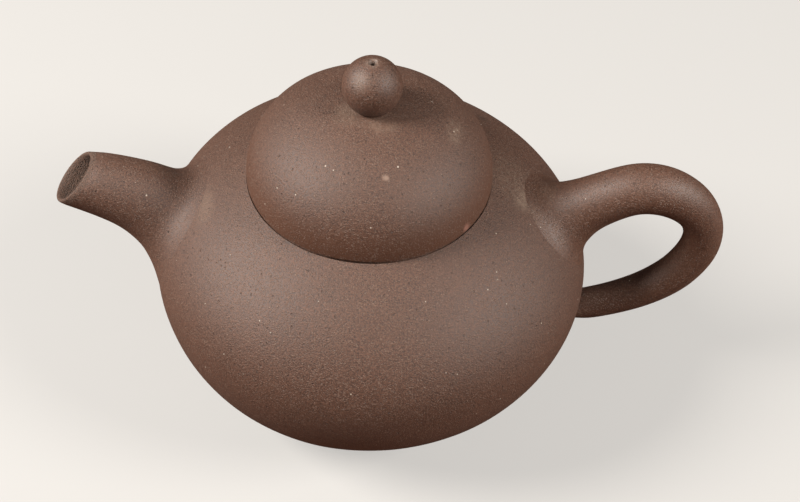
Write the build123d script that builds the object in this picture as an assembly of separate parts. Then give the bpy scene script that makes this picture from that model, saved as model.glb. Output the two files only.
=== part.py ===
from build123d import *
import math
import os

# Unglazed stoneware teapot: a round belly, a short spout, a ring handle and a domed lid
# with a bead knob. Millimetres, +Z up. The origin is the centre of the foot ring on the
# table. The spout points along -X and the handle along +X. The potter makes each piece
# from its own slab or roll of clay and lutes it to the next with slip. Only the lid
# comes off after firing.

# Belly. Its outline is an upper and a lower half ellipse that meet at the belly line. The
# shoulder disc is the top of it, as far out from the lid as its width.
BELLY_RADIUS = 50.0
SHOULDER_RISE = 31.2
BELLY_DROP = 38.0
WALL = 2.6
SHOULDER_DISC_WIDTH = 10.25

# Base disc and foot ring.
BASE_RADIUS = 28.0
BASE_THICKNESS = 2.8
FOOT_HEIGHT = 2.5
FOOT_WIDTH = 5.0
FOOT_TAPER = 0.9
FOOT_ROUND = 0.7

# Lid and mouth. The lid's edge is flush with the belly's outline at the seat.
LID_RADIUS = 27.25
LID_RISE = 19.7
LID_ROUNDNESS = 2.25
LID_WALL = 2.4
LID_PLATE = 2.4
LID_SEAM = 0.25
LID_CURVE_POINTS = 10
SEAT_WIDTH = 5.75
MOUTH_RING_DEPTH = 3.8
MOUTH_RING_LIP = 1.15
FLANGE_DEPTH = 5.5
FLANGE_WALL = 2.4
FLANGE_CLEARANCE = 0.35
EDGE_ROUND = 0.5

# Knob bead and its steam vent.
KNOB_RADIUS = 6.4
KNOB_SINK = 1.25
VENT_RADIUS = 0.6
VENT_DISH_RADIUS = 1.1
VENT_DISH_DEPTH = 0.5

# Spout. Reach is from the belly to the middle of the mouth. Root and throat are as high
# above the belly line as their share of the shoulder's rise. The radii run outwards, at
# the given shares of the centre line's length.
SPOUT_REACH = 15.8
SPOUT_DROP_BELOW_SEAT = 4.9
SPOUT_ROOT_SHARE = 0.176
SPOUT_ROOT_DEPTH = 7.7
SPOUT_THROAT_SHARE = 0.407
SPOUT_THROAT_PROUD = 1.4
SPOUT_PLACES = (0.0, 0.3, 0.6, 1.0)
SPOUT_RADII = (12.0, 9.4, 7.8, 6.35)
SPOUT_BORE_RADII = (6.0, 5.4, 4.9, 5.0)
SPOUT_ROOT_ANGLE = 125.0
SPOUT_MOUTH_ANGLE = 163.0
SPOUT_OVERRUN = 7.0
SPOUT_LIP_ANGLE = 46.5
SPOUT_LIP_ROUND = 0.4

# Strainer: a pierced dome inside the belly, over the way into the spout.
STRAINER_RADIUS = 9.2
STRAINER_WALL = 1.7
STRAINER_HOLE_RADIUS = 0.9
STRAINER_RINGS = ((0.0, 1), (26.0, 6), (50.0, 12))

# Handle: a round roll of clay that thins towards its lower end. Each place along it is
# (distance out from the belly, height above the belly line as a share of the shoulder's
# rise, radius of the roll).
HANDLE_TOP_ROOT = (-9.0, 0.288, 9.0)
HANDLE_BOW = (
    (1.3, 0.641, 6.1),
    (6.6, 0.744, 5.8),
    (12.8, 0.785, 5.8),
    (19.2, 0.724, 5.5),
    (24.6, 0.577, 4.9),
    (27.4, 0.288, 4.55),
    (24.3, -0.048, 4.5),
    (17.3, -0.285, 4.2),
    (6.2, -0.468, 3.9),
)
HANDLE_LOW_ROOT = (-7.0, -0.577, 4.3)

# Heights that follow from the sizes above.
BASE_DROP = BELLY_DROP * math.sqrt(1 - (BASE_RADIUS / BELLY_RADIUS) ** 2)
BELLY_LINE = BASE_DROP + FOOT_HEIGHT
SEAT_RISE = SHOULDER_RISE * math.sqrt(1 - (LID_RADIUS / BELLY_RADIUS) ** 2)
SEAT = BELLY_LINE + SEAT_RISE
BASE_TOP = FOOT_HEIGHT + BASE_THICKNESS
SHOULDER_JOINT_RADIUS = LID_RADIUS + SHOULDER_DISC_WIDTH
SHOULDER_JOINT_SHARE = math.sqrt(1 - (SHOULDER_JOINT_RADIUS / BELLY_RADIUS) ** 2)
SHOULDER_JOINT = BELLY_LINE + SHOULDER_RISE * SHOULDER_JOINT_SHARE
MOUTH_RADIUS = LID_RADIUS - SEAT_WIDTH
MOUTH_RING_RADIUS = LID_RADIUS + MOUTH_RING_LIP
FLANGE_RADIUS = MOUTH_RADIUS - FLANGE_CLEARANCE
FLANGE_BORE = FLANGE_RADIUS - FLANGE_WALL
LID_BOTTOM = SEAT + LID_SEAM
LID_TOP = LID_BOTTOM + LID_RISE
KNOB_CENTRE = LID_TOP - KNOB_SINK + KNOB_RADIUS
SPOUT_ROOT_RISE = SPOUT_ROOT_SHARE * SHOULDER_RISE
SPOUT_THROAT_RISE = SPOUT_THROAT_SHARE * SHOULDER_RISE

# Tool solids reach this far past everything that they cut.
FAR = 4 * BELLY_RADIUS


def disc(radius, low, high):
    """A solid cylinder about the pot's axis between two heights."""
    return Pos(0, 0, (low + high) / 2) * Cylinder(radius, high - low)


def ring(outer, inner, low, high):
    """A flat ring about the pot's axis between two heights."""
    return disc(outer, low, high) - disc(inner, low, high)


def spun(outline):
    """The solid made by turning a closed outline in the XZ plane about the pot's axis."""
    return revolve(make_face(outline), Axis.Z)


def belly_solid(inset, low, high):
    """The belly's ellipses, moved in by inset and cut flat at two heights."""
    radius = BELLY_RADIUS - inset
    rise = SHOULDER_RISE - inset
    drop = BELLY_DROP - inset
    above = Plane.XZ * EllipticalCenterArc((0, 0), radius, rise, 0, arc_size=90)
    below = Plane.XZ * EllipticalCenterArc((0, 0), radius, drop, -90, arc_size=90)
    axis = Plane.XZ * Line((0, rise), (0, -drop))
    whole = Pos(0, 0, BELLY_LINE) * spun([above, axis, below])
    return whole & disc(FAR, low, high)


def belly_radius_at(height):
    """The belly's outside radius at a height above (or below) the belly line."""
    half = SHOULDER_RISE if height > 0 else BELLY_DROP
    return BELLY_RADIUS * math.sqrt(1 - (height / half) ** 2)


def lid_solid(inset):
    """The lid's dome, moved in by inset: a superellipse turned about the pot's axis."""
    radius = LID_RADIUS - inset
    rise = LID_RISE - inset
    points = []
    for i in range(LID_CURVE_POINTS + 1):
        turn = math.pi / 2 * i / LID_CURVE_POINTS
        across = radius * math.cos(turn) ** (2 / LID_ROUNDNESS)
        up = rise * math.sin(turn) ** (2 / LID_ROUNDNESS)
        points.append((across, up))
    points[-1] = (0, rise)
    curve = Plane.XZ * Spline(points, tangents=[(0, 1), (-1, 0)])
    axis = Plane.XZ * Line((0, rise), (0, 0))
    floor = Plane.XZ * Line((0, 0), (radius, 0))
    return Pos(0, 0, LID_BOTTOM) * spun([curve, axis, floor])


def slanted(angle):
    """The direction at an angle above +X, in the plane of spout and handle."""
    turn = math.radians(angle)
    return Vector(math.cos(turn), 0, math.sin(turn))


def make_foot_ring():
    """The low ring under the base, tapered and rounded where it stands."""
    outer_top = (BASE_RADIUS, FOOT_HEIGHT)
    outer_low = (BASE_RADIUS - FOOT_TAPER, 0)
    inner_low = (BASE_RADIUS - FOOT_WIDTH + FOOT_TAPER, 0)
    inner_top = (BASE_RADIUS - FOOT_WIDTH, FOOT_HEIGHT)
    outline = Plane.XZ * Polyline(outer_top, outer_low, inner_low, inner_top, close=True)
    foot = spun(outline)
    return fillet(foot.edges().group_by(Axis.Z)[0], FOOT_ROUND)


def make_mouth_ring():
    """The thick ring inside the shoulder that the lid rests on."""
    low = SEAT - MOUTH_RING_DEPTH
    band = ring(MOUTH_RING_RADIUS, MOUTH_RADIUS, low, SEAT)
    outer = belly_solid(0, FOOT_HEIGHT, SEAT)
    seat_ring = band & outer
    bore_edges = seat_ring.edges().filter_by(GeomType.CIRCLE).sort_by(SortBy.RADIUS)[:2]
    return fillet(bore_edges, EDGE_ROUND)


def spout_path():
    """The spout's centre line, from inside the belly to past the mouth."""
    root_x = -(belly_radius_at(SPOUT_ROOT_RISE) - SPOUT_ROOT_DEPTH)
    root = Vector(root_x, 0, BELLY_LINE + SPOUT_ROOT_RISE)
    throat_x = -(belly_radius_at(SPOUT_THROAT_RISE) + SPOUT_THROAT_PROUD)
    throat = Vector(throat_x, 0, BELLY_LINE + SPOUT_THROAT_RISE)
    mouth = Vector(-(BELLY_RADIUS + SPOUT_REACH), 0, SEAT - SPOUT_DROP_BELOW_SEAT)
    way_out = slanted(SPOUT_MOUTH_ANGLE)
    end = mouth + way_out * SPOUT_OVERRUN
    bend = Spline(root, throat, mouth, tangents=[slanted(SPOUT_ROOT_ANGLE), way_out])
    return bend, mouth, end, way_out


def spout_rod(radii):
    """The spout's rod at the given radii: root, throat, middle and mouth, then overrun."""
    bend, _, end, way_out = spout_path()
    circles = []
    for place, radius in zip(SPOUT_PLACES, radii):
        across = Plane(origin=bend @ place, z_dir=bend % place)
        circles.append(across * Circle(radius))
    circles.append(Plane(origin=end, z_dir=way_out) * Circle(radii[-1]))
    return loft(circles)


def make_spout(belly):
    """The spout outside the belly, cut at a slant across its mouth."""
    _, mouth, _, _ = spout_path()
    cut = Plane(origin=mouth, z_dir=slanted(SPOUT_LIP_ANGLE + 90))
    beyond_lip = cut * Pos(0, 0, FAR / 2) * Box(FAR, FAR, FAR)
    clay = spout_rod(SPOUT_RADII) - beyond_lip - belly - spout_rod(SPOUT_BORE_RADII)
    solid = clay.solids().sort_by(SortBy.VOLUME)[-1]
    lip = solid.faces().sort_by(lambda face: abs(cut.to_local_coords(face.center()).Z))[0]
    return fillet(lip.edges(), SPOUT_LIP_ROUND)


def make_handle(belly):
    """The bent roll of clay outside the belly."""
    places = [HANDLE_TOP_ROOT, *HANDLE_BOW, HANDLE_LOW_ROOT]
    points = []
    for out, share, _ in places:
        height = BELLY_LINE + share * SHOULDER_RISE
        points.append(Vector(BELLY_RADIUS + out, 0, height))
    path = Spline(*points)
    circles = []
    for point, (_, _, radius) in zip(points, places):
        place = path.param_at_point(point)
        across = Plane(origin=point, z_dir=path % place)
        circles.append(across * Circle(radius))
    roll = loft(circles) - belly
    return roll.solids().sort_by(SortBy.VOLUME)[-1]


def make_strainer(cavity):
    """A pierced dome that stands on the belly's inner wall, around the spout's bore."""
    bend, _, _, _ = spout_path()
    point = (bend & belly_solid(WALL, 0, FAR)).vertices().sort_by(Axis.X)[0].center()
    inner_radius = BELLY_RADIUS - WALL
    inner_rise = SHOULDER_RISE - WALL
    slope_x = -point.X / inner_radius**2
    slope_z = -(point.Z - BELLY_LINE) / inner_rise**2
    inward = Vector(slope_x, 0, slope_z).normalized()
    seat = Plane(origin=point, x_dir=(0, 1, 0), z_dir=inward)
    dome = Sphere(STRAINER_RADIUS) - Sphere(STRAINER_RADIUS - STRAINER_WALL)
    for lean, count in STRAINER_RINGS:
        for i in range(count):
            hole = Pos(0, 0, STRAINER_RADIUS) * Cylinder(STRAINER_HOLE_RADIUS, STRAINER_RADIUS)
            dome -= Rot(0, 0, 360 * i / count) * Rot(0, lean, 0) * hole
    return (seat * dome) & cavity


def make_lid_flange():
    """The ring under the lid that drops into the mouth, with its lower edges rounded."""
    band = ring(FLANGE_RADIUS, FLANGE_BORE, LID_BOTTOM - FLANGE_DEPTH, LID_BOTTOM)
    return fillet(band.edges().group_by(Axis.Z)[0], EDGE_ROUND)


def make_knob(lid_outside, vent):
    """The bead on top of the lid, dished around its steam vent."""
    bead = Pos(0, 0, KNOB_CENTRE) * Sphere(KNOB_RADIUS)
    top = KNOB_CENTRE + KNOB_RADIUS
    dish = Pos(0, 0, top) * Cone(VENT_RADIUS, VENT_DISH_RADIUS, 2 * VENT_DISH_DEPTH)
    return bead - lid_outside - vent - dish


os.makedirs("parts", exist_ok=True)
belly = belly_solid(0, FOOT_HEIGHT, SEAT)
cavity = belly_solid(WALL, BASE_TOP, SEAT)
shell = belly - belly_solid(WALL, 0, FAR)
bore = spout_rod(SPOUT_BORE_RADII)
lid_outside = lid_solid(0)
vent = disc(VENT_RADIUS, LID_BOTTOM, FAR)
plate_top = LID_BOTTOM + LID_PLATE

pieces = {
    "base_disc": belly & disc(FAR, FOOT_HEIGHT, BASE_TOP),
    "body_wall": (shell & disc(FAR, BASE_TOP, SHOULDER_JOINT)) - bore,
    "shoulder_disc": shell & ring(FAR, MOUTH_RING_RADIUS, SHOULDER_JOINT, SEAT),
    "mouth_ring": make_mouth_ring(),
    "foot_ring": make_foot_ring(),
    "spout": make_spout(belly),
    "strainer": make_strainer(cavity),
    "handle": make_handle(belly),
    "lid_dome": (lid_outside - lid_solid(LID_WALL) - vent) & disc(FAR, plate_top, FAR),
    "lid_plate": lid_outside & ring(FAR, FLANGE_BORE, LID_BOTTOM, plate_top),
    "lid_flange": make_lid_flange(),
    "knob": make_knob(lid_outside, vent),
}
for name, solid in pieces.items():
    export_step(solid, f"parts/{name}.step")
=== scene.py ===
import bpy
import math
from mathutils import Euler, Matrix, Vector


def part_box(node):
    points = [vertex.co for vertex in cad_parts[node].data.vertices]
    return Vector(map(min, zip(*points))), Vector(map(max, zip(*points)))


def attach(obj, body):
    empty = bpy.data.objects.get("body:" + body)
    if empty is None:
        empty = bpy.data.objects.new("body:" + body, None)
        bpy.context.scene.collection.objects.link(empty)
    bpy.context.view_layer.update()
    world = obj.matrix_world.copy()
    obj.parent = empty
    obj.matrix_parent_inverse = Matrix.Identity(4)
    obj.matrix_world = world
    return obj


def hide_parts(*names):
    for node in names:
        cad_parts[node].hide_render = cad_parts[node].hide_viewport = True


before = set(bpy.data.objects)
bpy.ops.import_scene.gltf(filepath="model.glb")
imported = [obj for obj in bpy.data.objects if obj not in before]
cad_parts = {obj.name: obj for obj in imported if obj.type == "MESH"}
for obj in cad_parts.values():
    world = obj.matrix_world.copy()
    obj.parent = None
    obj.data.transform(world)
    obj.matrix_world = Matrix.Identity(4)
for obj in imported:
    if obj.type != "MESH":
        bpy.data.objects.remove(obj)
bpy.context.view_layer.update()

# --- Belly -------------------------------------------------------------------------
# The belly's slab of clay, beaten round over the palm until it closes, with the shoulder
# disc luted into its top and smoothed in. Dense unglazed stoneware, burnished by hand.
belly_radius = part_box("body_wall")[1].x
base_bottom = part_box("base_disc")[0].z
base_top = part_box("base_disc")[1].z
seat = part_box("mouth_ring")[1].z
lid_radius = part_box("lid_plate")[1].x
base_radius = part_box("foot_ring")[1].x
shoulder_rise = 0.0312
belly_drop = 0.038
belly_line = base_bottom + belly_drop * math.sqrt(1 - (base_radius / belly_radius) ** 2)
wall = 0.0026
crease = math.radians(40)
hand_wobble = 0.0003
hand_bulge = 0.0011
bulge_band = 0.002
half_height = 0.5 * (seat - base_bottom)


def select_only(piece):
    bpy.ops.object.select_all(action="DESELECT")
    piece.select_set(True)
    bpy.context.view_layer.objects.active = piece


def turned(name, outline, around=160, closed=True):
    """A round shape: an outline of (radius, height) points, spun about the pot's axis."""
    bpy.ops.object.select_all(action="DESELECT")
    bpy.ops.mesh.primitive_plane_add(size=0.001, enter_editmode=True)
    bpy.ops.mesh.select_all(action="SELECT")
    bpy.ops.mesh.merge(type="CENTER")
    points = [Vector((radius, 0, height)) for radius, height in outline]
    bpy.ops.transform.translate(value=points[0])
    for here, there in zip(points, points[1:] + points[:1] * closed):
        bpy.ops.mesh.extrude_region_move(TRANSFORM_OT_translate={"value": there - here})
    bpy.ops.mesh.select_all(action="SELECT")
    bpy.ops.mesh.remove_doubles(threshold=1e-6)
    bpy.ops.mesh.select_all(action="SELECT")
    bpy.ops.mesh.spin(steps=around, angle=2 * math.pi, center=(0, 0, 0), axis=(0, 0, 1))
    bpy.ops.mesh.select_all(action="SELECT")
    bpy.ops.mesh.remove_doubles(threshold=1e-6)
    bpy.ops.mesh.normals_make_consistent(inside=False)
    bpy.ops.object.mode_set(mode="OBJECT")
    piece = bpy.context.active_object
    piece.name = name
    bpy.ops.object.shade_smooth_by_angle(angle=crease)
    return piece


def press_by_hand(piece, depth, span=0.03):
    """The slight unevenness that beating and burnishing by hand leave."""
    marks = bpy.data.textures.new(piece.name + "_hand_marks", type="CLOUDS")
    marks.noise_scale = span
    marks.noise_depth = 1
    press = piece.modifiers.new("hand", "DISPLACE")
    press.texture = marks
    press.texture_coords = "LOCAL"
    press.strength = depth
    press.mid_level = 1.0
    select_only(piece)
    bpy.ops.object.modifier_apply(modifier=press.name)


def belly_outline(low, high, steps=90):
    """The belly's half section from one height to another, on its two half ellipses."""
    points = []
    for i in range(steps + 1):
        up = low + (high - low) * i / steps - belly_line
        half = shoulder_rise if up > 0 else belly_drop
        points.append((belly_radius * math.sqrt(1 - (up / half) ** 2), belly_line + up))
    return points


belly = turned("clay_belly", belly_outline(base_bottom, seat), around=192, closed=False)
bpy.ops.object.mode_set(mode="EDIT")
bpy.ops.mesh.select_all(action="DESELECT")
bpy.ops.object.mode_set(mode="OBJECT")
for vertex in belly.data.vertices:
    vertex.select = abs(vertex.co.z - 0.5 * (seat + base_bottom)) < bulge_band
bpy.ops.object.mode_set(mode="EDIT")
bpy.ops.transform.translate(
    value=(hand_bulge, 0, 0),
    use_proportional_edit=True,
    proportional_edit_falloff="SMOOTH",
    proportional_size=half_height - bulge_band,
)
bpy.ops.object.mode_set(mode="OBJECT")
press_by_hand(belly, hand_wobble)
select_only(belly)
bpy.ops.object.duplicate()
former = bpy.context.active_object
former.name = "former"
thick = belly.modifiers.new("wall", "SOLIDIFY")
thick.thickness = wall
thick.offset = -1
thick.use_even_offset = True
thick.material_offset = 1
select_only(belly)
bpy.ops.object.modifier_apply(modifier=thick.name)

# The way into the spout is cut through the wall before the spout is luted on.
bore_radius = 0.0058
bore_length = 0.016
bore_lean = math.radians(48)
bore_middle = (-0.0462, 0, belly_line + 0.0113)
bpy.ops.object.select_all(action="DESELECT")
bpy.ops.mesh.primitive_cylinder_add(vertices=48, radius=bore_radius, depth=bore_length)
bpy.ops.object.mode_set(mode="EDIT")
bpy.ops.mesh.select_all(action="SELECT")
bpy.ops.transform.rotate(value=bore_lean, orient_axis="Y", center_override=(0, 0, 0))
bpy.ops.transform.translate(value=bore_middle)
bpy.ops.object.mode_set(mode="OBJECT")
plug = bpy.context.active_object
cut = belly.modifiers.new("bore", "BOOLEAN")
cut.object = plug
cut.operation = "DIFFERENCE"
cut.solver = "EXACT"
select_only(belly)
bpy.ops.object.modifier_apply(modifier=cut.name)
bpy.data.objects.remove(plug)
bpy.ops.object.shade_smooth_by_angle(angle=crease)
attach(belly, "pot")
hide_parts("body_wall", "shoulder_disc")


# Clay: a brown body full of fine pale sand, with a few bright grains and dark pores. The
# hand's burnishing leaves a soft sheen over it.
def socket(group, name, kind, way, value=None):
    made = group.interface.new_socket(name=name, in_out=way, socket_type="NodeSocket" + kind)
    if value is not None:
        made.default_value = value


def math_node(tree, operation, first, second, third=None):
    """A math node whose inputs are links or numbers."""
    made = tree.nodes.new("ShaderNodeMath")
    made.operation = operation
    for entry, value in zip(made.inputs, (first, second, third)):
        if isinstance(value, (int, float)):
            entry.default_value = value
        elif value is not None:
            tree.links.new(value, entry)
    return made.outputs["Value"]


def range_node(tree, value, low, high, out_low=0.0, out_high=1.0, smooth=False):
    """Maps low to high onto out_low to out_high, and holds at both ends."""
    made = tree.nodes.new("ShaderNodeMapRange")
    if smooth:
        made.interpolation_type = "SMOOTHSTEP"
    made.inputs["From Min"].default_value = low
    made.inputs["From Max"].default_value = high
    made.inputs["To Min"].default_value = out_low
    made.inputs["To Max"].default_value = out_high
    tree.links.new(value, made.inputs["Value"])
    return made.outputs["Result"]


def noise_node(tree, place, scale, detail, rough=0.6):
    made = tree.nodes.new("ShaderNodeTexNoise")
    made.inputs["Scale"].default_value = scale
    made.inputs["Detail"].default_value = detail
    made.inputs["Roughness"].default_value = rough
    tree.links.new(place, made.inputs["Vector"])
    return made.outputs["Fac"]


def grain_nodes(tree, place, scale, size, share):
    """Round grains: cells of the given scale, a share of them holding a grain."""
    cells = tree.nodes.new("ShaderNodeTexVoronoi")
    cells.inputs["Scale"].default_value = scale
    tree.links.new(place, cells.inputs["Vector"])
    pick = tree.nodes.new("ShaderNodeSeparateColor")
    tree.links.new(cells.outputs["Color"], pick.inputs["Color"])
    reach = math_node(tree, "MULTIPLY_ADD", pick.outputs["Green"], 0.8 * size, 0.4 * size)
    near = math_node(tree, "DIVIDE", cells.outputs["Distance"], reach)
    grain = range_node(tree, near, 1.0, 0.6, smooth=True)
    chosen = math_node(tree, "LESS_THAN", pick.outputs["Red"], share)
    return math_node(tree, "MULTIPLY", grain, chosen)


def clay_grain_group():
    """Masks and height of the sand, bright grains and pores in the clay."""
    group = bpy.data.node_groups.new("clay_grain", "ShaderNodeTree")
    socket(group, "Place", "Vector", "INPUT")
    for name in ("Tone", "Mottle", "Sand", "Bright", "Pore", "Height"):
        socket(group, name, "Float", "OUTPUT")
    place = group.nodes.new("NodeGroupInput").outputs["Place"]
    leave = group.nodes.new("NodeGroupOutput")
    mottle = noise_node(group, place, 3200, 2, 0.6)
    coarse_sand = grain_nodes(group, place, 1700, 0.36, 0.45)
    fine_sand = grain_nodes(group, place, 3000, 0.5, 0.65)
    sand = math_node(group, "MAXIMUM", coarse_sand, math_node(group, "MULTIPLY", fine_sand, 0.8))
    pore = grain_nodes(group, place, 1000, 0.24, 0.25)
    height = math_node(group, "MULTIPLY", mottle, 0.6)
    height = math_node(group, "MULTIPLY_ADD", sand, 0.4, height)
    height = math_node(group, "MULTIPLY_ADD", pore, -0.9, height)
    outputs = {
        "Tone": noise_node(group, place, 60, 4, 0.6),
        "Mottle": mottle,
        "Sand": sand,
        "Bright": grain_nodes(group, place, 400, 0.08, 0.45),
        "Pore": pore,
        "Height": height,
    }
    for name, value in outputs.items():
        group.links.new(value, leave.inputs[name])
    return group


def rub_and_light_patch_group():
    """A soft patch for wear and dust, and for painted highlights and painted shade: an egg-shaped mask
    round a place, broken up like dry dust.
    """
    group = bpy.data.node_groups.new("rub_and_light_patch", "ShaderNodeTree")
    socket(group, "Place", "Vector", "INPUT")
    socket(group, "Middle", "Vector", "INPUT")
    socket(group, "Size", "Vector", "INPUT")
    socket(group, "Broken", "Float", "INPUT", 0.5)
    socket(group, "Mask", "Float", "OUTPUT")
    entry = group.nodes.new("NodeGroupInput")
    leave = group.nodes.new("NodeGroupOutput")
    away = group.nodes.new("ShaderNodeVectorMath")
    away.operation = "SUBTRACT"
    group.links.new(entry.outputs["Place"], away.inputs[0])
    group.links.new(entry.outputs["Middle"], away.inputs[1])
    shaped = group.nodes.new("ShaderNodeVectorMath")
    shaped.operation = "DIVIDE"
    group.links.new(away.outputs["Vector"], shaped.inputs[0])
    group.links.new(entry.outputs["Size"], shaped.inputs[1])
    far = group.nodes.new("ShaderNodeVectorMath")
    far.operation = "LENGTH"
    group.links.new(shaped.outputs["Vector"], far.inputs[0])
    patch = range_node(group, far.outputs["Value"], 1.0, 0.1, smooth=True)
    dust = range_node(group, noise_node(group, entry.outputs["Place"], 900, 4, 0.75), 0.42, 0.6)
    held = math_node(group, "MULTIPLY_ADD", dust, entry.outputs["Broken"], 1.0)
    whole = math_node(group, "SUBTRACT", held, entry.outputs["Broken"])
    mask = math_node(group, "MULTIPLY", patch, whole)
    group.links.new(mask, leave.inputs["Mask"])
    return group


clay_grain = clay_grain_group()
rub_and_light_patch = rub_and_light_patch_group()
fleck_tone = (0.19, 0.09, 0.055)
sand_tone = (0.24, 0.155, 0.11)
pore_tone = (0.02, 0.012, 0.008)
bright_tone = (0.62, 0.54, 0.45)


def clay(name, dark, light, roughness, grit, marks=(), low=None):
    """Fired clay between two colours.

    Grit is how far the grain stands out, in metres. Each mark is (middle, size, colour,
    strength, broken), all places in metres; some marks are wear, chips and dust, and some
    are painted highlights and painted shade. Low is a painted shade that darkens the colour
    towards the bottom: (height where the shade starts, height where it is full, colour, strength).
    """
    made = bpy.data.materials.new(name)
    made.use_nodes = True
    tree = made.node_tree
    surface = tree.nodes["Principled BSDF"]
    surface.inputs["Specular IOR Level"].default_value = 0.9
    place = tree.nodes.new("ShaderNodeTexCoord").outputs["Object"]
    grain = tree.nodes.new("ShaderNodeGroup")
    grain.node_tree = clay_grain
    tree.links.new(place, grain.inputs["Place"])

    def mix(factor, first, second):
        made = tree.nodes.new("ShaderNodeMix")
        made.data_type = "RGBA"
        for value, entry in ((factor, made.inputs[0]), (first, made.inputs[6]), (second, made.inputs[7])):
            if isinstance(value, tuple):
                entry.default_value = (*value, 1.0)
            elif isinstance(value, float):
                entry.default_value = value
            else:
                tree.links.new(value, entry)
        return made.outputs[2]

    tone = range_node(tree, grain.outputs["Tone"], 0.35, 0.65)
    colour = mix(tone, dark, light)
    mottle = range_node(tree, grain.outputs["Mottle"], 0.32, 0.68)
    speckled = mix(mottle, tuple(0.3 * c for c in dark), fleck_tone)
    colour = mix(0.7, colour, speckled)
    # Painted shade: the colour turns darker towards the bottom, between the two heights of low.
    if low is not None:
        start, full, tint, strength = low
        height = tree.nodes.new("ShaderNodeSeparateXYZ")
        tree.links.new(place, height.inputs["Vector"])
        painted_shade = range_node(tree, height.outputs["Z"], start, full, 0.0, strength, smooth=True)
        colour = mix(painted_shade, colour, tint)
    sand = math_node(tree, "MULTIPLY", grain.outputs["Sand"], 0.5)
    colour = mix(sand, colour, sand_tone)
    pore = math_node(tree, "MULTIPLY", grain.outputs["Pore"], 0.3)
    colour = mix(pore, colour, pore_tone)
    for middle, size, tint, strength, broken in marks:
        patch = tree.nodes.new("ShaderNodeGroup")
        patch.node_tree = rub_and_light_patch
        patch.inputs["Middle"].default_value = middle
        patch.inputs["Size"].default_value = size
        patch.inputs["Broken"].default_value = broken
        tree.links.new(place, patch.inputs["Place"])
        wear_and_light_amount = math_node(tree, "MULTIPLY", patch.outputs["Mask"], strength)
        colour = mix(wear_and_light_amount, colour, tint)
    bright = math_node(tree, "MULTIPLY", grain.outputs["Bright"], 0.9)
    colour = mix(bright, colour, bright_tone)
    tree.links.new(colour, surface.inputs["Base Color"])
    rough = range_node(tree, mottle, 0.0, 1.0, roughness - 0.05, roughness + 0.07)
    tree.links.new(rough, surface.inputs["Roughness"])
    bump = tree.nodes.new("ShaderNodeBump")
    bump.inputs["Distance"].default_value = grit
    tree.links.new(grain.outputs["Height"], bump.inputs["Height"])
    tree.links.new(bump.outputs["Normal"], surface.inputs["Normal"])
    return made


clay_dark = (0.07, 0.025, 0.0125)
clay_light = (0.1, 0.041, 0.0225)
# Pale dust on worn places; the same tone also paints highlights.
dust_and_highlight_tone = (0.3, 0.21, 0.15)
belly_marks = [
    # Painted highlight: a pale crescent on the shoulder beside the spout's root.
    ((-0.0360, -0.0072, 0.0552), (0.0035, 0.0075, 0.0035), dust_and_highlight_tone, 0.3, 0.5),
    ((0.0405, 0.0005, 0.0520), (0.0045, 0.0040, 0.0040), dust_and_highlight_tone, 0.55, 0.85),
    ((0.0343, -0.0029, 0.0564), (0.0040, 0.0050, 0.0030), dust_and_highlight_tone, 0.65, 0.7),
    ((0.0310, 0.0020, 0.0570), (0.0110, 0.0120, 0.0060), dust_and_highlight_tone, 0.3, 0.9),
    ((0.0261, 0.0242, 0.0559), (0.0030, 0.0030, 0.0020), (0.03, 0.013, 0.006), 0.6, 0.3),
]
# Painted shade: the belly turns darker and redder towards the bottom.
belly_painted_shade = (0.034, 0.008, (0.055, 0.016, 0.006), 0.75)
burnished_clay = clay("burnished_clay", clay_dark, clay_light, 0.62, 0.0002, belly_marks, belly_painted_shade)
raw_clay = clay("raw_clay", (0.1, 0.055, 0.038), (0.13, 0.075, 0.055), 0.85, 0.0003)
belly.data.materials.append(burnished_clay)
belly.data.materials.append(raw_clay)

# --- Base disc and foot ring ---------------------------------------------------------
# A flat disc of clay closes the bottom, and a thin strip luted under it lifts it off the
# table. Both are trimmed with a bamboo knife and wiped.
disc_edge = 0.0006
base_disc = turned(
    "clay_base_disc",
    [
        (0, base_bottom + 0.0002),
        (base_radius - 0.003, base_bottom + 0.0002),
        (base_radius - 0.0005, base_bottom + disc_edge),
        (base_radius + 0.002, base_top - disc_edge),
        (base_radius + 0.0015, base_top),
        (0, base_top),
    ],
)
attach(base_disc, "pot")
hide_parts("base_disc")
base_disc.data.materials.append(burnished_clay)

foot_width = 0.005
foot_taper = 0.0009
foot_round = 0.0007
foot_outside = base_radius - foot_taper
foot_inside = base_radius - foot_width + foot_taper
foot_ring = turned(
    "clay_foot_ring",
    [
        (base_radius - 0.0002, base_bottom + 0.0004),
        (base_radius - 0.0004, base_bottom - 0.0003),
        (foot_outside, foot_round),
        (foot_outside - 0.3 * foot_round, 0.3 * foot_round),
        (foot_outside - foot_round, 0),
        (foot_inside + foot_round, 0),
        (foot_inside + 0.3 * foot_round, 0.3 * foot_round),
        (foot_inside, foot_round),
        (foot_inside - foot_taper, base_bottom + 0.0004),
    ],
)
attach(foot_ring, "pot")
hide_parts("foot_ring")
foot_ring.data.materials.append(burnished_clay)

# --- Mouth ring ---------------------------------------------------------------------
# A thick ring luted inside the shoulder, cut flat on top. The lid rests on it, so that only
# a hairline shows between the two.
mouth_radius = 0.0215
ring_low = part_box("mouth_ring")[0].z
round_off = 0.0004
ring_outside = lid_radius - 0.0004
mouth_ring = turned(
    "clay_mouth_ring",
    [
        (mouth_radius + round_off, seat),
        (mouth_radius + 0.3 * round_off, seat - 0.3 * round_off),
        (mouth_radius, seat - round_off),
        (mouth_radius, ring_low + round_off),
        (mouth_radius + round_off, ring_low),
        (ring_outside, ring_low),
        (ring_outside, seat - 0.3 * round_off),
        (ring_outside - 0.3 * round_off, seat),
    ],
)
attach(mouth_ring, "pot")
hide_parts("mouth_ring")
mouth_ring.data.materials.append(burnished_clay)

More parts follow.
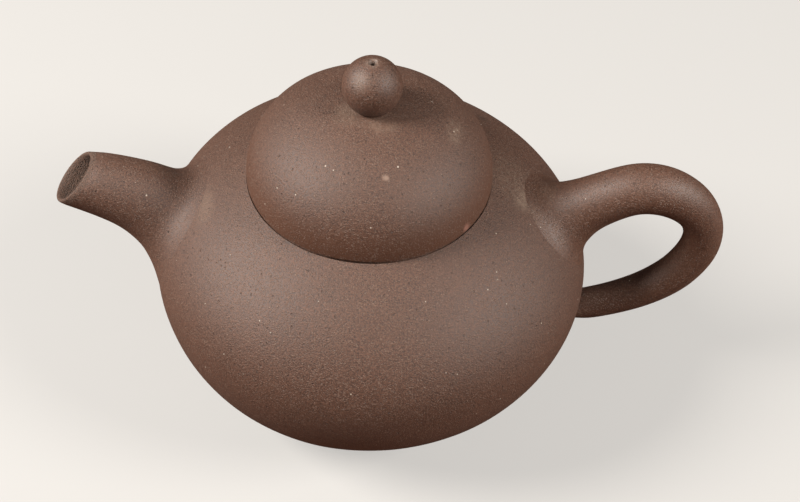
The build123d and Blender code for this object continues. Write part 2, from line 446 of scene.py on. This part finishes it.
# --- Lid ----------------------------------------------------------------------------
# A convex disc of clay luted to a flat ring, with a deeper ring under it that drops into
# the mouth. The dome is burnished and its edge is trimmed flush with the shoulder.
lid_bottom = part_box("lid_plate")[0].z
lid_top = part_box("lid_dome")[1].z
lid_rise = lid_top - lid_bottom
lid_roundness = 2.25
lid_wall = 0.0024
vent_radius = 0.0006


def dome_outline(inset, start, steps=60):
    """The dome's half section from its edge to the vent, on a superellipse."""
    radius = lid_radius - inset
    rise = lid_rise - inset
    points = []
    for i in range(steps + 1):
        turn = start + (math.pi / 2 - start) * i / steps
        across = radius * math.cos(turn) ** (2 / lid_roundness)
        up = rise * math.sin(turn) ** (2 / lid_roundness)
        if across > 1.5 * vent_radius:
            points.append((across, lid_bottom + up))
    points.append((vent_radius, lid_bottom + rise))
    return points


edge = 0.00012
outside = [(lid_radius - edge, lid_bottom), (lid_radius - 0.3 * edge, lid_bottom + 0.3 * edge)]
outside += dome_outline(0, 0.02)
inside = dome_outline(lid_wall, 0.02)[::-1]
inside += [(lid_radius - lid_wall, lid_bottom)]
lid_dome = turned("clay_lid_dome", outside + inside)
press_by_hand(lid_dome, 0.00018, span=0.02)
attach(lid_dome, "lid")
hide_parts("lid_dome")
lid_marks = [
    ((0.0035, -0.0178, 0.0761), (0.0011, 0.0009, 0.0012), (0.42, 0.29, 0.22), 0.6, 0.3),
    ((0.0212, -0.0171, 0.0614), (0.0015, 0.0015, 0.0018), (0.42, 0.2, 0.15), 0.8, 0.5),
    ((0.0180, -0.0030, 0.0762), (0.0030, 0.0060, 0.0030), dust_and_highlight_tone, 0.5, 0.95),
    # Pale patches round the knob's foot: partly wear, partly painted highlight.
    ((-0.0050, -0.0026, 0.0798), (0.0045, 0.0050, 0.0022), dust_and_highlight_tone, 0.4, 0.6),
    ((0.0020, -0.0060, 0.0798), (0.0060, 0.0035, 0.0022), dust_and_highlight_tone, 0.3, 0.8),
]
# Painted shade: the lid's steep edge turns darker and redder towards its bottom.
lid_painted_shade = (lid_bottom + 0.0105, lid_bottom + 0.001, (0.1, 0.033, 0.011), 0.75)
lid_clay = clay("lid_clay", clay_dark, clay_light, 0.62, 0.0002, lid_marks, lid_painted_shade)
lid_dome.data.materials.append(lid_clay)

flange_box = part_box("lid_flange")
flange_radius = flange_box[1].x
flange_bore = flange_radius - 0.0024
plate = 0.0024
lid_plate = turned(
    "clay_lid_plate",
    [
        (flange_bore + 0.0003, lid_bottom + 0.0001),
        (lid_radius - lid_wall + 0.0004, lid_bottom + 0.0001),
        (lid_radius - lid_wall + 0.0004, lid_bottom + plate),
        (flange_bore + 0.0005, lid_bottom + plate),
        (flange_bore, lid_bottom + plate - 0.0005),
        (flange_bore, lid_bottom + 0.0004),
    ],
)
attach(lid_plate, "lid")
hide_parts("lid_plate")
lid_plate.data.materials.append(burnished_clay)

flange_low = flange_box[0].z
lid_flange = turned(
    "clay_lid_flange",
    [
        (flange_radius, lid_bottom + 0.0003),
        (flange_radius - 0.0001, flange_low + 0.0008),
        (flange_radius - 0.0004, flange_low + 0.0002),
        (flange_radius - 0.0009, flange_low),
        (flange_bore + 0.0008, flange_low),
        (flange_bore + 0.0003, flange_low + 0.0002),
        (flange_bore, flange_low + 0.0007),
        (flange_bore, lid_bottom + 0.0003),
    ],
)
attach(lid_flange, "lid")
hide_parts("lid_flange")
lid_flange.data.materials.append(burnished_clay)

# --- Knob ---------------------------------------------------------------------------
# A bead of clay rolled in the palm, luted on top of the lid and pierced down its middle
# with a needle, so that the pot can breathe while it pours.
knob_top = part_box("knob")[1].z
knob_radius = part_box("knob")[1].x
knob_sink = 0.00125
knob_foot = 0.0036
knob_root = lid_top - 0.0012
knob_centre = lid_top - knob_sink + knob_radius
dish_radius = 0.0011
knob_outline = [(vent_radius, knob_top - 0.0006), (0.75 * dish_radius, knob_top - 0.0003)]
steps = 48
first_turn = math.asin(dish_radius / knob_radius)
last_turn = math.radians(142)
for i in range(steps + 1):
    turn = first_turn + (last_turn - first_turn) * i / steps
    knob_outline.append((knob_radius * math.sin(turn), knob_centre + knob_radius * math.cos(turn)))
knob_outline += [
    (knob_foot, knob_root),
    (vent_radius, knob_root),
]
knob = turned("clay_knob", knob_outline, around=96)
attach(knob, "lid")
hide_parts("knob")
knob_marks = [
    ((0, 0, knob_top - 0.0003), (0.0021, 0.0021, 0.0012), (0.42, 0.33, 0.27), 0.8, 0.8),
    # Painted shade: the inside of the needle hole is painted near black.
    ((0, 0, knob_top - 0.0014), (0.0013, 0.0013, 0.0016), (0.015, 0.008, 0.005), 1.0, 0.0),
    # Painted highlight: a pale spot on the knob's upper left.
    ((-0.0022, -0.0038, knob_top - 0.0022), (0.003, 0.003, 0.003), dust_and_highlight_tone, 0.25, 0.6),
]
# Painted shade: the knob turns darker below its middle, towards the lid.
knob_painted_shade = (knob_centre, lid_top, (0.08, 0.03, 0.015), 0.5)
knob_clay = clay("knob_clay", clay_dark, clay_light, 0.56, 0.0002, knob_marks, knob_painted_shade)
knob.data.materials.append(knob_clay)

# --- Strainer -----------------------------------------------------------------------
# A small dome of clay, pierced all over with a needle, luted inside the belly over the way
# into the spout to hold the leaves back. It faces inward and down.
strainer_radius = 0.0091
strainer_wall = 0.0016
needle_radius = 0.0011
whole_rim = 0.1 * strainer_radius
strainer_place = (-0.0444, 0, belly_line + 0.0098)
strainer_lean = math.radians(-121.2)
bpy.ops.object.select_all(action="DESELECT")
bpy.ops.mesh.primitive_ico_sphere_add(subdivisions=2, radius=strainer_radius)
bpy.ops.object.mode_set(mode="EDIT")
bpy.ops.mesh.select_all(action="SELECT")
bpy.ops.mesh.bisect(plane_co=(0, 0, 0), plane_no=(0, 0, 1), clear_inner=True)
bpy.ops.mesh.select_all(action="DESELECT")
bpy.ops.object.mode_set(mode="OBJECT")
strainer = bpy.context.active_object
strainer.name = "clay_strainer"
for vertex in strainer.data.vertices:
    vertex.select = vertex.co.z > whole_rim
bpy.ops.object.mode_set(mode="EDIT")
bpy.ops.mesh.bevel(offset=needle_radius, affect="VERTICES")
bpy.ops.mesh.delete(type="FACE")
bpy.ops.mesh.select_all(action="SELECT")
bpy.ops.transform.rotate(value=strainer_lean, orient_axis="Y", center_override=(0, 0, 0))
bpy.ops.transform.translate(value=strainer_place)
bpy.ops.object.mode_set(mode="OBJECT")
thick = strainer.modifiers.new("wall", "SOLIDIFY")
thick.thickness = strainer_wall
thick.offset = -1
smooth = strainer.modifiers.new("smooth", "SUBSURF")
smooth.levels = smooth.render_levels = 2
select_only(strainer)
bpy.ops.object.modifier_apply(modifier=thick.name)
bpy.ops.object.modifier_apply(modifier=smooth.name)
bpy.ops.object.shade_smooth()
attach(strainer, "pot")
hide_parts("strainer")
strainer.data.materials.append(raw_clay)

# --- Spout --------------------------------------------------------------------------
# A strip of clay rolled into a taper over a wooden needle, bent a little and luted to
# the belly with a fillet of slip. Its mouth is cut at a slant with a wire.
mm = 0.001
around_roll = 40


def roll_of_clay(name, rings, hollow=False):
    """A roll through rings of (x, height above the belly line, heading, radius), in mm and
    degrees. A hollow one runs back inside itself, and its last ring is joined to its first."""
    bpy.ops.object.select_all(action="DESELECT")
    bpy.ops.mesh.primitive_circle_add(vertices=around_roll, radius=mm * rings[0][3])
    bpy.ops.object.mode_set(mode="EDIT")
    bpy.ops.mesh.select_all(action="SELECT")
    bpy.ops.transform.translate(value=(mm * rings[0][0], 0, belly_line + mm * rings[0][1]))
    before = (rings[0][0], rings[0][1], 90, rings[0][3])
    for i, ring in enumerate(rings):
        x, up, heading, radius = ring
        if i:
            step = (mm * (x - before[0]), 0, mm * (up - before[1]))
            bpy.ops.mesh.extrude_region_move(TRANSFORM_OT_translate={"value": step})
        centre = (mm * x, 0, belly_line + mm * up)
        turn = math.radians(heading - before[2])
        bpy.ops.transform.rotate(value=turn, orient_axis="Y", center_override=centre)
        size = radius / before[3]
        bpy.ops.transform.resize(value=(size, size, size), center_override=centre)
        before = ring
    if hollow:
        bpy.ops.mesh.select_all(action="DESELECT")
        bpy.ops.mesh.select_non_manifold()
        bpy.ops.mesh.bridge_edge_loops()
    else:
        bpy.ops.mesh.select_all(action="SELECT")
        bpy.ops.mesh.fill_holes(sides=0)
    bpy.ops.mesh.select_all(action="SELECT")
    bpy.ops.mesh.normals_make_consistent(inside=False)
    bpy.ops.object.mode_set(mode="OBJECT")
    piece = bpy.context.active_object
    piece.name = name
    return piece


def lute(piece, ring_number, height):
    """Presses one ring of a roll onto the belly, at a height above its surface in mm."""
    first = ring_number * around_roll
    group = piece.vertex_groups.new(name="root")
    group.add(range(first, first + around_roll), 1.0, "REPLACE")
    press = piece.modifiers.new("lute", "SHRINKWRAP")
    press.target = former
    press.vertex_group = group.name
    press.wrap_method = "NEAREST_SURFACEPOINT"
    press.wrap_mode = "ABOVE_SURFACE"
    press.offset = mm * height
    select_only(piece)
    bpy.ops.object.modifier_apply(modifier=press.name)
    piece.vertex_groups.clear()


# The root's rings also hold the height above the belly's skin at which they are luted.
spout_root = [
    (-42.3, 6.6, 150, 16.4, -0.35),
    (-42.9, 7.0, 150, 15.2, 0.0),
    (-43.6, 7.7, 150, 13.8, 0.25),
    (-44.5, 8.7, 150, 12.4, 0.7),
    (-45.6, 9.9, 149, 11.2, 1.5),
    (-47.0, 11.4, 148, 10.2, 2.7),
    (-48.6, 13.1, 147, 9.4, 4.2),
]
spout_tube = [
    (-51.3, 15.7, 150, 8.5),
    (-54.8, 17.5, 156, 7.85),
    (-58.8, 19.0, 160, 7.35),
    (-62.1, 20.1, 155, 6.95),
    (-64.9, 20.9, 141, 6.75),
]
spout_lip = [
    (-65.75, 21.3, 137, 6.65),
    (-66.0, 21.5, 137, 6.35),
    (-65.9, 21.45, 137, 5.85),
    (-65.3, 21.1, 139, 5.5),
]
spout_bore = [
    (-62.6, 20.3, 156, 5.15),
    (-58.8, 19.0, 160, 4.85),
    (-54.8, 17.5, 156, 4.9),
    (-51.3, 15.7, 150, 5.1),
    (-48.6, 13.1, 147, 5.6),
    (-45.0, 10.8, 149, 6.0),
]
rings = [row[:4] for row in spout_root] + spout_tube + spout_lip + spout_bore
spout = roll_of_clay("clay_spout", rings, hollow=True)

# The lip is worn pale and the bore is left rough.
lip_start = len(spout_root) + len(spout_tube) - 1
bore_start = lip_start + len(spout_lip)
for face in spout.data.polygons:
    ring_number = face.index // around_roll
    face.material_index = (ring_number >= lip_start) + (ring_number >= bore_start)
for number, row in enumerate(spout_root):
    lute(spout, number, row[4])
smooth = spout.modifiers.new("smooth", "SUBSURF")
smooth.levels = smooth.render_levels = 2
select_only(spout)
bpy.ops.object.modifier_apply(modifier=smooth.name)
bpy.ops.object.shade_smooth()
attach(spout, "pot")
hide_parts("spout")
spout_marks = [
    # Painted highlight: a pale patch on the front of the spout's root.
    ((-0.0470, -0.0060, belly_line + 0.0100), (0.0040, 0.0060, 0.0060), dust_and_highlight_tone, 0.2, 0.6),
]
spout_clay = clay("spout_clay", clay_dark, clay_light, 0.62, 0.0002, spout_marks)
worn_clay = clay("worn_clay", (0.1, 0.055, 0.036), (0.15, 0.095, 0.068), 0.75, 0.0004)
bore_clay = clay("bore_clay", (0.1, 0.055, 0.035), (0.19, 0.12, 0.085), 0.85, 0.0008)
spout.data.materials.append(spout_clay)
spout.data.materials.append(worn_clay)
spout.data.materials.append(bore_clay)

# --- Handle -------------------------------------------------------------------------
# One roll of clay, thick at its upper end and thin at its lower, bent to a ring and luted
# to the belly at both ends.
# Rings as for a roll, and where one is luted, its height above the belly's skin.
handle_rings = [
    (40.4, 11.4, 41, 12.4, -0.35),
    (41.3, 12.2, 41, 11.4, 0.0),
    (42.3, 13.1, 41, 10.3, 0.25),
    (43.5, 14.1, 41, 9.3, 0.8),
    (44.9, 15.3, 41, 8.4, 1.7),
    (46.7, 16.7, 41, 7.5, 3.2),
    (48.9, 18.4, 39, 6.4, None),
    (51.9, 20.4, 37, 6.0, None),
    (56.6, 23.1, 24, 5.8, None),
    (60.2, 24.4, 9, 5.8, None),
    (63.8, 24.45, -7, 5.75, None),
    (67.3, 23.6, -20, 5.6, None),
    (70.6, 21.8, -34, 5.35, None),
    (73.5, 19.4, -46, 5.05, None),
    (75.7, 16.3, -60, 4.75, None),
    (77.1, 12.6, -76, 4.6, None),
    (77.5, 8.6, -92, 4.55, None),
    (76.9, 4.7, -103, 4.55, None),
    (75.5, 1.0, -114, 4.5, None),
    (73.4, -2.8, -126, 4.45, None),
    (70.5, -6.1, -136, 4.35, None),
    (66.6, -9.4, -145, 4.2, None),
    (62.0, -12.1, -153, 4.05, None),
    (57.0, -14.3, -158, 3.9, None),
    (52.6, -15.7, -160, 3.85, None),
    (49.6, -16.4, -160, 4.0, 2.6),
    (47.9, -16.6, -160, 4.4, 1.4),
    (46.6, -16.6, -160, 5.0, 0.7),
    (45.6, -16.6, -160, 5.7, 0.25),
    (44.9, -16.6, -160, 6.4, 0.0),
    (44.2, -16.6, -160, 7.1, -0.35),
]
handle = roll_of_clay("clay_handle", [row[:4] for row in handle_rings])
for number, row in enumerate(handle_rings):
    if row[4] is not None:
        lute(handle, number, row[4])
smooth = handle.modifiers.new("smooth", "SUBSURF")
smooth.levels = smooth.render_levels = 2
select_only(handle)
bpy.ops.object.modifier_apply(modifier=smooth.name)
bpy.ops.object.shade_smooth()
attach(handle, "pot")
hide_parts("handle")
handle_marks = [
    ((0.0405, 0.0005, 0.0522), (0.0055, 0.0060, 0.0050), dust_and_highlight_tone, 0.5, 0.85),
    ((0.0360, -0.0060, 0.0540), (0.0040, 0.0060, 0.0030), dust_and_highlight_tone, 0.3, 0.95),
]
handle_clay = clay("handle_clay", (0.088, 0.032, 0.016), (0.124, 0.052, 0.0285), 0.54, 0.0002, handle_marks)
handle.data.materials.append(handle_clay)

bpy.data.objects.remove(former)

# --- Table, light and camera -----------------------------------------------------------
# A plain pale table, two soft lights and a camera that looks down on the pot from in front.
# The table is pale to the camera, returns little light to the pot's underside and can be
# looked through from below.
floor_size = 6.0
floor_seen = (0.26, 0.253, 0.243, 1)
floor_return = (0.12, 0.045, 0.022, 1)
floor_glow = 0.45
bpy.ops.object.select_all(action="DESELECT")
bpy.ops.mesh.primitive_plane_add(size=floor_size)
floor = bpy.context.active_object
floor.name = "floor"
paper = bpy.data.materials.new("pale_paper")
paper.use_nodes = True
sheet = paper.node_tree.nodes["Principled BSDF"]
sheet.inputs["Roughness"].default_value = 0.8
seen = paper.node_tree.nodes.new("ShaderNodeLightPath")
tone = paper.node_tree.nodes.new("ShaderNodeMix")
tone.data_type = "RGBA"
tone.inputs[6].default_value = floor_return
tone.inputs[7].default_value = floor_seen
paper.node_tree.links.new(seen.outputs["Is Camera Ray"], tone.inputs[0])
paper.node_tree.links.new(tone.outputs[2], sheet.inputs["Base Color"])
sheet.inputs["Emission Color"].default_value = (1, 0.975, 0.94, 1)
glow = math_node(paper.node_tree, "MULTIPLY", seen.outputs["Is Camera Ray"], floor_glow)
paper.node_tree.links.new(glow, sheet.inputs["Emission Strength"])
under = paper.node_tree.nodes.new("ShaderNodeNewGeometry").outputs["Backfacing"]
solid = math_node(paper.node_tree, "SUBTRACT", 1.0, under)
paper.node_tree.links.new(solid, sheet.inputs["Alpha"])
floor.data.materials.append(paper)

middle = Vector((0.0, 0.0, 0.045))
lamp_size = 0.4
lamp_colour = (1.0, 0.95, 0.89)


def soft_light(name, direction, distance, power):
    """A round lamp, at a distance from the pot's middle in some direction, turned to face it."""
    lamp = bpy.data.lights.new(name, "AREA")
    lamp.shape = "DISK"
    lamp.size = lamp_size
    lamp.energy = power
    lamp.color = lamp_colour
    light = bpy.data.objects.new(name, lamp)
    bpy.context.scene.collection.objects.link(light)
    way = Vector(direction).normalized()
    light.location = middle + way * distance
    light.rotation_euler = way.to_track_quat("Z", "Y").to_euler()


soft_light("left_window", (-0.75, -0.12, 0.65), 0.9, 13.0)
soft_light("right_window", (0.78, -0.26, 0.56), 1.0, 9.5)

world = bpy.data.worlds.new("room")
bpy.context.scene.world = world
world.use_nodes = True
room_light = 0.07
room_seen = 0.75
room = world.node_tree.nodes["Background"]
room.inputs["Color"].default_value = (1, 0.98, 0.95, 1)
seen = world.node_tree.nodes.new("ShaderNodeLightPath")
strength = range_node(world.node_tree, seen.outputs["Is Camera Ray"], 0, 1, room_light, room_seen)
world.node_tree.links.new(strength, room.inputs["Strength"])

camera_azimuth = -1.45
camera_elevation = 47.39
camera_roll = 3.21
camera_distance = 0.3259
camera_target = Vector((0.0077, -0.0002, 0.035))
camera_lens = 62.44
lens = bpy.data.cameras.new("camera")
lens.lens = camera_lens
lens.clip_start = 0.01
camera = bpy.data.objects.new("camera", lens)
bpy.context.scene.collection.objects.link(camera)
aim = Euler((math.radians(90 - camera_elevation), 0, math.radians(camera_azimuth))).to_matrix()
aim = aim @ Matrix.Rotation(math.radians(camera_roll), 3, "Z")
camera.rotation_euler = aim.to_euler()
camera.location = camera_target + aim @ Vector((0, 0, camera_distance))
bpy.context.scene.camera = camera
bpy.context.scene.view_settings.view_transform = "Standard"
